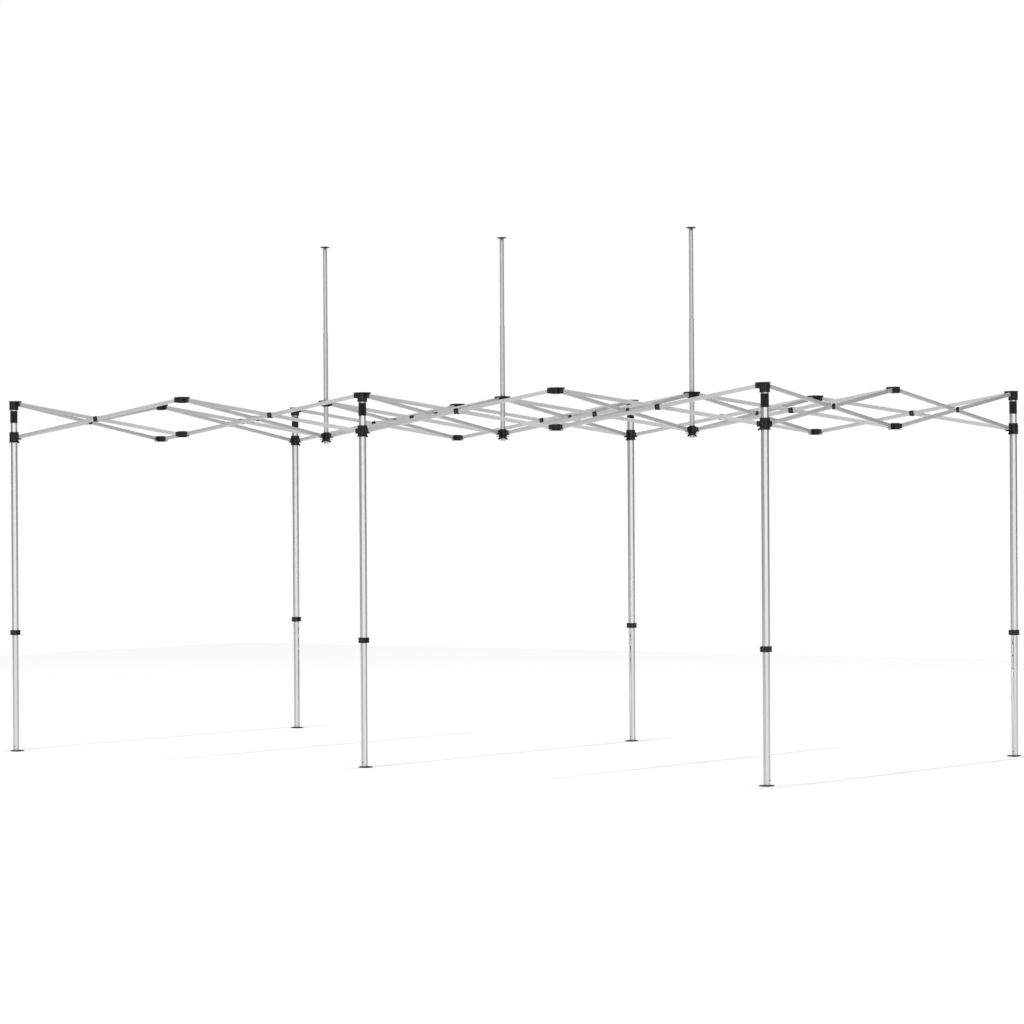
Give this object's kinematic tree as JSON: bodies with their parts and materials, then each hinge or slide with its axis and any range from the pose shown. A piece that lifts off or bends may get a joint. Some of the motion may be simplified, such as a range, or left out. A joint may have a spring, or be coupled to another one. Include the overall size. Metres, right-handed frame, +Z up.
{
  "type": "pop up canopy frame",
  "caption": "Folding pop up canopy frame of telescoping octagonal legs, scissor bar trusses and raised peak poles, shown open without its cover.",
  "frame": {"origin": "on the ground under the centre of the open frame", "axes": "+X along the six metre side to the right, +Y from the front side to the rear, +Z up"},
  "size_m": [6.06, 3.06, 3.421],
  "materials": {
    "tube_aluminium": "satin anodised",
    "bar_aluminium": "satin anodised, pale grey",
    "black_nylon": "moulded, fine matt texture"
  },
  "bodies": {
    "front_1_falling_bar": {"front_1_falling_bar": "bar_aluminium"},
    "front_1_rising_bar": {"front_1_rising_bar": "bar_aluminium"},
    "front_2_falling_bar": {"front_2_falling_bar": "bar_aluminium"},
    "front_2_rising_bar": {"front_2_rising_bar": "bar_aluminium"},
    "front_3_falling_bar": {"front_3_falling_bar": "bar_aluminium"},
    "front_3_rising_bar": {"front_3_rising_bar": "bar_aluminium"},
    "front_4_falling_bar": {"front_4_falling_bar": "bar_aluminium"},
    "front_4_rising_bar": {"front_4_rising_bar": "bar_aluminium"},
    "front_left_bay_lower_connector": {"front_left_bay_lower_connector": "black_nylon"},
    "front_left_bay_upper_connector": {"front_left_bay_upper_connector": "black_nylon"},
    "front_left_lower_leg": {"front_left_lower_leg": "tube_aluminium"},
    "front_left_slider": {"front_left_slider": "black_nylon"},
    "front_left_upper_leg": {"front_left_upper_leg": "tube_aluminium"},
    "front_middle_lower_leg": {"front_middle_lower_leg": "tube_aluminium"},
    "front_middle_slider": {"front_middle_slider": "black_nylon"},
    "front_middle_upper_leg": {"front_middle_upper_leg": "tube_aluminium"},
    "front_right_bay_lower_connector": {"front_right_bay_lower_connector": "black_nylon"},
    "front_right_bay_upper_connector": {"front_right_bay_upper_connector": "black_nylon"},
    "front_right_lower_leg": {"front_right_lower_leg": "tube_aluminium"},
    "front_right_slider": {"front_right_slider": "black_nylon"},
    "front_right_upper_leg": {"front_right_upper_leg": "tube_aluminium"},
    "left_1_falling_bar": {"left_1_falling_bar": "bar_aluminium"},
    "left_1_rising_bar": {"left_1_rising_bar": "bar_aluminium"},
    "left_2_falling_bar": {"left_2_falling_bar": "bar_aluminium"},
    "left_2_rising_bar": {"left_2_rising_bar": "bar_aluminium"},
    "left_inner_scissors": {"left_inner_scissors": "bar_aluminium"},
    "left_peak_pole": {"left_peak_pole": "tube_aluminium"},
    "left_side_lower_connector": {"left_side_lower_connector": "black_nylon"},
    "left_side_upper_connector": {"left_side_upper_connector": "black_nylon"},
    "middle_inner_scissors": {"middle_inner_scissors": "bar_aluminium"},
    "middle_peak_pole": {"middle_peak_pole": "tube_aluminium"},
    "rear_1_falling_bar": {"rear_1_falling_bar": "bar_aluminium"},
    "rear_1_rising_bar": {"rear_1_rising_bar": "bar_aluminium"},
    "rear_2_falling_bar": {"rear_2_falling_bar": "bar_aluminium"},
    "rear_2_rising_bar": {"rear_2_rising_bar": "bar_aluminium"},
    "rear_3_falling_bar": {"rear_3_falling_bar": "bar_aluminium"},
    "rear_3_rising_bar": {"rear_3_rising_bar": "bar_aluminium"},
    "rear_4_falling_bar": {"rear_4_falling_bar": "bar_aluminium"},
    "rear_4_rising_bar": {"rear_4_rising_bar": "bar_aluminium"},
    "rear_left_bay_lower_connector": {"rear_left_bay_lower_connector": "black_nylon"},
    "rear_left_bay_upper_connector": {"rear_left_bay_upper_connector": "black_nylon"},
    "rear_left_lower_leg": {"rear_left_lower_leg": "tube_aluminium"},
    "rear_left_slider": {"rear_left_slider": "black_nylon"},
    "rear_left_upper_leg": {"rear_left_upper_leg": "tube_aluminium"},
    "rear_middle_lower_leg": {"rear_middle_lower_leg": "tube_aluminium"},
    "rear_middle_slider": {"rear_middle_slider": "black_nylon"},
    "rear_middle_upper_leg": {"rear_middle_upper_leg": "tube_aluminium"},
    "rear_right_bay_lower_connector": {"rear_right_bay_lower_connector": "black_nylon"},
    "rear_right_bay_upper_connector": {"rear_right_bay_upper_connector": "black_nylon"},
    "rear_right_lower_leg": {"rear_right_lower_leg": "tube_aluminium"},
    "rear_right_slider": {"rear_right_slider": "black_nylon"},
    "rear_right_upper_leg": {"rear_right_upper_leg": "tube_aluminium"},
    "right_1_falling_bar": {"right_1_falling_bar": "bar_aluminium"},
    "right_1_rising_bar": {"right_1_rising_bar": "bar_aluminium"},
    "right_2_falling_bar": {"right_2_falling_bar": "bar_aluminium"},
    "right_2_rising_bar": {"right_2_rising_bar": "bar_aluminium"},
    "right_inner_scissors": {"right_inner_scissors": "bar_aluminium"},
    "right_peak_pole": {"right_peak_pole": "tube_aluminium"},
    "right_side_lower_connector": {"right_side_lower_connector": "black_nylon"},
    "right_side_upper_connector": {"right_side_upper_connector": "black_nylon"}
  },
  "joints": [
    {"name": "fold", "type": "hinge", "parent": "front_left_bay_upper_connector", "child": "front_2_falling_bar", "pos_m": [-1.455, -1.4935, 2.345], "axis": [0, 1, 0], "range_deg": [0, 79.9], "deforming": ["left_inner_scissors", "middle_inner_scissors", "right_inner_scissors"]},
    {"name": "front_2_rising_bar_pivot", "type": "hinge", "parent": "front_2_falling_bar", "child": "front_2_rising_bar", "pos_m": [-0.75, -1.5, 2.235], "axis": [0, -1, 0], "range_deg": [0, 159.8]},
    {"name": "front_left_bay_lower_connector_pivot", "type": "hinge", "parent": "front_2_rising_bar", "child": "front_left_bay_lower_connector", "pos_m": [-1.455, -1.5065, 2.125], "axis": [0, 1, 0], "range_deg": [0, 79.9]},
    {"name": "front_middle_upper_leg_pivot", "type": "hinge", "parent": "front_2_rising_bar", "child": "front_middle_upper_leg", "pos_m": [-0.045, -1.5065, 2.345], "axis": [0, 1, 0], "range_deg": [0, 79.9]},
    {"name": "front_middle_slider_pivot", "type": "hinge", "parent": "front_2_falling_bar", "child": "front_middle_slider", "pos_m": [-0.045, -1.4935, 2.125], "axis": [0, -1, 0], "range_deg": [0, 79.9]},
    {"name": "front_3_falling_bar_pivot", "type": "hinge", "parent": "front_middle_upper_leg", "child": "front_3_falling_bar", "pos_m": [0.045, -1.4935, 2.345], "axis": [0, 1, 0], "range_deg": [0, 79.9]},
    {"name": "front_3_rising_bar_pivot", "type": "hinge", "parent": "front_3_falling_bar", "child": "front_3_rising_bar", "pos_m": [0.75, -1.5, 2.235], "axis": [0, -1, 0], "range_deg": [0, 159.8]},
    {"name": "front_right_bay_upper_connector_pivot", "type": "hinge", "parent": "front_3_rising_bar", "child": "front_right_bay_upper_connector", "pos_m": [1.455, -1.5065, 2.345], "axis": [0, 1, 0], "range_deg": [0, 79.9]},
    {"name": "front_right_bay_lower_connector_pivot", "type": "hinge", "parent": "front_3_falling_bar", "child": "front_right_bay_lower_connector", "pos_m": [1.455, -1.4935, 2.125], "axis": [0, -1, 0], "range_deg": [0, 79.9]},
    {"name": "front_4_falling_bar_pivot", "type": "hinge", "parent": "front_right_bay_upper_connector", "child": "front_4_falling_bar", "pos_m": [1.545, -1.4935, 2.345], "axis": [0, 1, 0], "range_deg": [0, 79.9]},
    {"name": "front_4_rising_bar_pivot", "type": "hinge", "parent": "front_4_falling_bar", "child": "front_4_rising_bar", "pos_m": [2.25, -1.5, 2.235], "axis": [0, -1, 0], "range_deg": [0, 159.8]},
    {"name": "front_right_upper_leg_pivot", "type": "hinge", "parent": "front_4_rising_bar", "child": "front_right_upper_leg", "pos_m": [2.955, -1.5065, 2.345], "axis": [0, 1, 0], "range_deg": [0, 79.9]},
    {"name": "front_right_slider_pivot", "type": "hinge", "parent": "front_4_falling_bar", "child": "front_right_slider", "pos_m": [2.955, -1.4935, 2.125], "axis": [0, -1, 0], "range_deg": [0, 79.9]},
    {"name": "right_1_falling_bar_pivot", "type": "hinge", "parent": "front_right_upper_leg", "child": "right_1_falling_bar", "pos_m": [2.9935, -1.455, 2.345], "axis": [-1, 0, 0], "range_deg": [0, 79.9]},
    {"name": "right_1_rising_bar_pivot", "type": "hinge", "parent": "right_1_falling_bar", "child": "right_1_rising_bar", "pos_m": [3, -0.75, 2.235], "axis": [1, 0, 0], "range_deg": [0, 159.8]},
    {"name": "right_side_upper_connector_pivot", "type": "hinge", "parent": "right_1_rising_bar", "child": "right_side_upper_connector", "pos_m": [3.0065, -0.045, 2.345], "axis": [-1, 0, 0], "range_deg": [0, 79.9]},
    {"name": "right_side_lower_connector_pivot", "type": "hinge", "parent": "right_1_falling_bar", "child": "right_side_lower_connector", "pos_m": [2.9935, -0.045, 2.125], "axis": [1, 0, 0], "range_deg": [0, 79.9]},
    {"name": "right_2_falling_bar_pivot", "type": "hinge", "parent": "right_side_upper_connector", "child": "right_2_falling_bar", "pos_m": [2.9935, 0.045, 2.345], "axis": [-1, 0, 0], "range_deg": [0, 79.9]},
    {"name": "right_2_rising_bar_pivot", "type": "hinge", "parent": "right_2_falling_bar", "child": "right_2_rising_bar", "pos_m": [3, 0.75, 2.235], "axis": [1, 0, 0], "range_deg": [0, 159.8]},
    {"name": "rear_right_upper_leg_pivot", "type": "hinge", "parent": "right_2_rising_bar", "child": "rear_right_upper_leg", "pos_m": [3.0065, 1.455, 2.345], "axis": [-1, 0, 0], "range_deg": [0, 79.9]},
    {"name": "rear_right_slider_pivot", "type": "hinge", "parent": "right_2_falling_bar", "child": "rear_right_slider", "pos_m": [2.9935, 1.455, 2.125], "axis": [1, 0, 0], "range_deg": [0, 79.9]},
    {"name": "front_1_rising_bar_pivot", "type": "hinge", "parent": "front_left_bay_upper_connector", "child": "front_1_rising_bar", "pos_m": [-1.545, -1.5065, 2.345], "axis": [0, -1, 0], "range_deg": [0, 79.9]},
    {"name": "front_1_falling_bar_pivot", "type": "hinge", "parent": "front_1_rising_bar", "child": "front_1_falling_bar", "pos_m": [-2.25, -1.5, 2.235], "axis": [0, 1, 0], "range_deg": [0, 159.8]},
    {"name": "front_left_upper_leg_pivot", "type": "hinge", "parent": "front_1_falling_bar", "child": "front_left_upper_leg", "pos_m": [-2.955, -1.4935, 2.345], "axis": [0, -1, 0], "range_deg": [0, 79.9]},
    {"name": "front_left_slider_pivot", "type": "hinge", "parent": "front_1_rising_bar", "child": "front_left_slider", "pos_m": [-2.955, -1.5065, 2.125], "axis": [0, 1, 0], "range_deg": [0, 79.9]},
    {"name": "left_1_falling_bar_pivot", "type": "hinge", "parent": "front_left_upper_leg", "child": "left_1_falling_bar", "pos_m": [-3.0065, -1.455, 2.345], "axis": [-1, 0, 0], "range_deg": [0, 79.9]},
    {"name": "left_1_rising_bar_pivot", "type": "hinge", "parent": "left_1_falling_bar", "child": "left_1_rising_bar", "pos_m": [-3, -0.75, 2.235], "axis": [1, 0, 0], "range_deg": [0, 159.8]},
    {"name": "left_side_upper_connector_pivot", "type": "hinge", "parent": "left_1_rising_bar", "child": "left_side_upper_connector", "pos_m": [-2.9935, -0.045, 2.345], "axis": [-1, 0, 0], "range_deg": [0, 79.9]},
    {"name": "left_side_lower_connector_pivot", "type": "hinge", "parent": "left_1_falling_bar", "child": "left_side_lower_connector", "pos_m": [-3.0065, -0.045, 2.125], "axis": [1, 0, 0], "range_deg": [0, 79.9]},
    {"name": "left_2_falling_bar_pivot", "type": "hinge", "parent": "left_side_upper_connector", "child": "left_2_falling_bar", "pos_m": [-3.0065, 0.045, 2.345], "axis": [-1, 0, 0], "range_deg": [0, 79.9]},
    {"name": "left_2_rising_bar_pivot", "type": "hinge", "parent": "left_2_falling_bar", "child": "left_2_rising_bar", "pos_m": [-3, 0.75, 2.235], "axis": [1, 0, 0], "range_deg": [0, 159.8]},
    {"name": "rear_left_upper_leg_pivot", "type": "hinge", "parent": "left_2_rising_bar", "child": "rear_left_upper_leg", "pos_m": [-2.9935, 1.455, 2.345], "axis": [-1, 0, 0], "range_deg": [0, 79.9]},
    {"name": "rear_left_slider_pivot", "type": "hinge", "parent": "left_2_falling_bar", "child": "rear_left_slider", "pos_m": [-3.0065, 1.455, 2.125], "axis": [1, 0, 0], "range_deg": [0, 79.9]},
    {"name": "rear_1_falling_bar_pivot", "type": "hinge", "parent": "rear_left_upper_leg", "child": "rear_1_falling_bar", "pos_m": [-2.955, 1.5065, 2.345], "axis": [0, 1, 0], "range_deg": [0, 79.9]},
    {"name": "rear_1_rising_bar_pivot", "type": "hinge", "parent": "rear_1_falling_bar", "child": "rear_1_rising_bar", "pos_m": [-2.25, 1.5, 2.235], "axis": [0, -1, 0], "range_deg": [0, 159.8]},
    {"name": "rear_left_bay_upper_connector_pivot", "type": "hinge", "parent": "rear_1_rising_bar", "child": "rear_left_bay_upper_connector", "pos_m": [-1.545, 1.4935, 2.345], "axis": [0, 1, 0], "range_deg": [0, 79.9]},
    {"name": "rear_left_bay_lower_connector_pivot", "type": "hinge", "parent": "rear_1_falling_bar", "child": "rear_left_bay_lower_connector", "pos_m": [-1.545, 1.5065, 2.125], "axis": [0, -1, 0], "range_deg": [0, 79.9]},
    {"name": "rear_2_rising_bar_pivot", "type": "hinge", "parent": "rear_left_bay_lower_connector", "child": "rear_2_rising_bar", "pos_m": [-1.455, 1.4935, 2.125], "axis": [0, -1, 0], "range_deg": [0, 79.9]},
    {"name": "rear_2_falling_bar_pivot", "type": "hinge", "parent": "rear_2_rising_bar", "child": "rear_2_falling_bar", "pos_m": [-0.75, 1.5, 2.235], "axis": [0, 1, 0], "range_deg": [0, 159.8]},
    {"name": "rear_middle_upper_leg_pivot", "type": "hinge", "parent": "rear_2_rising_bar", "child": "rear_middle_upper_leg", "pos_m": [-0.045, 1.4935, 2.345], "axis": [0, 1, 0], "range_deg": [0, 79.9]},
    {"name": "rear_middle_slider_pivot", "type": "hinge", "parent": "rear_2_falling_bar", "child": "rear_middle_slider", "pos_m": [-0.045, 1.5065, 2.125], "axis": [0, -1, 0], "range_deg": [0, 79.9]},
    {"name": "rear_4_rising_bar_pivot", "type": "hinge", "parent": "rear_right_upper_leg", "child": "rear_4_rising_bar", "pos_m": [2.955, 1.4935, 2.345], "axis": [0, -1, 0], "range_deg": [0, 79.9]},
    {"name": "rear_4_falling_bar_pivot", "type": "hinge", "parent": "rear_4_rising_bar", "child": "rear_4_falling_bar", "pos_m": [2.25, 1.5, 2.235], "axis": [0, 1, 0], "range_deg": [0, 159.8]},
    {"name": "rear_right_bay_upper_connector_pivot", "type": "hinge", "parent": "rear_4_falling_bar", "child": "rear_right_bay_upper_connector", "pos_m": [1.545, 1.5065, 2.345], "axis": [0, -1, 0], "range_deg": [0, 79.9]},
    {"name": "rear_right_bay_lower_connector_pivot", "type": "hinge", "parent": "rear_4_rising_bar", "child": "rear_right_bay_lower_connector", "pos_m": [1.545, 1.4935, 2.125], "axis": [0, 1, 0], "range_deg": [0, 79.9]},
    {"name": "rear_3_falling_bar_pivot", "type": "hinge", "parent": "rear_middle_upper_leg", "child": "rear_3_falling_bar", "pos_m": [0.045, 1.5065, 2.345], "axis": [0, 1, 0], "range_deg": [0, 79.9]},
    {"name": "rear_3_rising_bar_pivot", "type": "hinge", "parent": "rear_3_falling_bar", "child": "rear_3_rising_bar", "pos_m": [0.75, 1.5, 2.235], "axis": [0, -1, 0], "range_deg": [0, 159.8]},
    {"name": "right_inner_gather", "type": "slide", "parent": "right_side_upper_connector", "child": "right_inner_scissors", "axis": [1, 0, 0], "range_m": [0, 1.37932]},
    {"name": "right_peak_pole_slide", "type": "slide", "parent": "right_inner_scissors", "child": "right_peak_pole", "axis": [0, 0, -1], "range_m": [0, 1.03]},
    {"name": "left_inner_gather", "type": "slide", "parent": "left_side_upper_connector", "child": "left_inner_scissors", "axis": [-1, 0, 0], "range_m": [0, 1.37932]},
    {"name": "left_peak_pole_slide", "type": "slide", "parent": "left_inner_scissors", "child": "left_peak_pole", "axis": [0, 0, -1], "range_m": [0, 1.03]},
    {"name": "middle_inner_gather", "type": "slide", "parent": "front_right_bay_upper_connector", "child": "middle_inner_scissors", "axis": [0.7071, -0.7071, 0], "range_m": [0, 1.95066]},
    {"name": "middle_peak_pole_slide", "type": "slide", "parent": "middle_inner_scissors", "child": "middle_peak_pole", "axis": [0, 0, -1], "range_m": [0, 1.03]},
    {"name": "front_left_leg_extension", "type": "slide", "parent": "front_left_upper_leg", "child": "front_left_lower_leg", "axis": [0, 0, 1], "range_m": [0, 0.7]},
    {"name": "front_middle_leg_extension", "type": "slide", "parent": "front_middle_upper_leg", "child": "front_middle_lower_leg", "axis": [0, 0, 1], "range_m": [0, 0.7]},
    {"name": "front_right_leg_extension", "type": "slide", "parent": "front_right_upper_leg", "child": "front_right_lower_leg", "axis": [0, 0, 1], "range_m": [0, 0.7]},
    {"name": "rear_left_leg_extension", "type": "slide", "parent": "rear_left_upper_leg", "child": "rear_left_lower_leg", "axis": [0, 0, 1], "range_m": [0, 0.7]},
    {"name": "rear_middle_leg_extension", "type": "slide", "parent": "rear_middle_upper_leg", "child": "rear_middle_lower_leg", "axis": [0, 0, 1], "range_m": [0, 0.7]},
    {"name": "rear_right_leg_extension", "type": "slide", "parent": "rear_right_upper_leg", "child": "rear_right_lower_leg", "axis": [0, 0, 1], "range_m": [0, 0.7]}
  ],
  "couplings": [
    {"joint": "front_2_rising_bar_pivot", "follows": "fold", "ratio": 2},
    {"joint": "front_left_bay_lower_connector_pivot", "follows": "fold", "ratio": 1},
    {"joint": "front_middle_upper_leg_pivot", "follows": "fold", "ratio": 1},
    {"joint": "front_middle_slider_pivot", "follows": "fold", "ratio": 1},
    {"joint": "front_3_falling_bar_pivot", "follows": "fold", "ratio": 1},
    {"joint": "front_3_rising_bar_pivot", "follows": "fold", "ratio": 2},
    {"joint": "front_right_bay_upper_connector_pivot", "follows": "fold", "ratio": 1},
    {"joint": "front_right_bay_lower_connector_pivot", "follows": "fold", "ratio": 1},
    {"joint": "front_4_falling_bar_pivot", "follows": "fold", "ratio": 1},
    {"joint": "front_4_rising_bar_pivot", "follows": "fold", "ratio": 2},
    {"joint": "front_right_upper_leg_pivot", "follows": "fold", "ratio": 1},
    {"joint": "front_right_slider_pivot", "follows": "fold", "ratio": 1},
    {"joint": "right_1_falling_bar_pivot", "follows": "fold", "ratio": 1},
    {"joint": "right_1_rising_bar_pivot", "follows": "fold", "ratio": 2},
    {"joint": "right_side_upper_connector_pivot", "follows": "fold", "ratio": 1},
    {"joint": "right_side_lower_connector_pivot", "follows": "fold", "ratio": 1},
    {"joint": "right_2_falling_bar_pivot", "follows": "fold", "ratio": 1},
    {"joint": "right_2_rising_bar_pivot", "follows": "fold", "ratio": 2},
    {"joint": "rear_right_upper_leg_pivot", "follows": "fold", "ratio": 1},
    {"joint": "rear_right_slider_pivot", "follows": "fold", "ratio": 1},
    {"joint": "front_1_rising_bar_pivot", "follows": "fold", "ratio": 1},
    {"joint": "front_1_falling_bar_pivot", "follows": "fold", "ratio": 2},
    {"joint": "front_left_upper_leg_pivot", "follows": "fold", "ratio": 1},
    {"joint": "front_left_slider_pivot", "follows": "fold", "ratio": 1},
    {"joint": "left_1_falling_bar_pivot", "follows": "fold", "ratio": 1},
    {"joint": "left_1_rising_bar_pivot", "follows": "fold", "ratio": 2},
    {"joint": "left_side_upper_connector_pivot", "follows": "fold", "ratio": 1},
    {"joint": "left_side_lower_connector_pivot", "follows": "fold", "ratio": 1},
    {"joint": "left_2_falling_bar_pivot", "follows": "fold", "ratio": 1},
    {"joint": "left_2_rising_bar_pivot", "follows": "fold", "ratio": 2},
    {"joint": "rear_left_upper_leg_pivot", "follows": "fold", "ratio": 1},
    {"joint": "rear_left_slider_pivot", "follows": "fold", "ratio": 1},
    {"joint": "rear_1_falling_bar_pivot", "follows": "fold", "ratio": 1},
    {"joint": "rear_1_rising_bar_pivot", "follows": "fold", "ratio": 2},
    {"joint": "rear_left_bay_upper_connector_pivot", "follows": "fold", "ratio": 1},
    {"joint": "rear_left_bay_lower_connector_pivot", "follows": "fold", "ratio": 1},
    {"joint": "rear_2_rising_bar_pivot", "follows": "fold", "ratio": 1},
    {"joint": "rear_2_falling_bar_pivot", "follows": "fold", "ratio": 2},
    {"joint": "rear_middle_upper_leg_pivot", "follows": "fold", "ratio": 1},
    {"joint": "rear_middle_slider_pivot", "follows": "fold", "ratio": 1},
    {"joint": "rear_4_rising_bar_pivot", "follows": "fold", "ratio": 1},
    {"joint": "rear_4_falling_bar_pivot", "follows": "fold", "ratio": 2},
    {"joint": "rear_right_bay_upper_connector_pivot", "follows": "fold", "ratio": 1},
    {"joint": "rear_right_bay_lower_connector_pivot", "follows": "fold", "ratio": 1},
    {"joint": "rear_3_falling_bar_pivot", "follows": "fold", "ratio": 1},
    {"joint": "rear_3_rising_bar_pivot", "follows": "fold", "ratio": 2},
    {"joint": "right_inner_gather", "follows": "fold", "m_per_rad": 0.9891},
    {"joint": "right_peak_pole_slide", "follows": "fold", "m_per_rad": 0.73861},
    {"joint": "left_inner_gather", "follows": "fold", "m_per_rad": 0.9891},
    {"joint": "left_peak_pole_slide", "follows": "fold", "m_per_rad": 0.73861},
    {"joint": "middle_inner_gather", "follows": "fold", "m_per_rad": 1.3988},
    {"joint": "middle_peak_pole_slide", "follows": "fold", "m_per_rad": 0.73861}
  ]
}
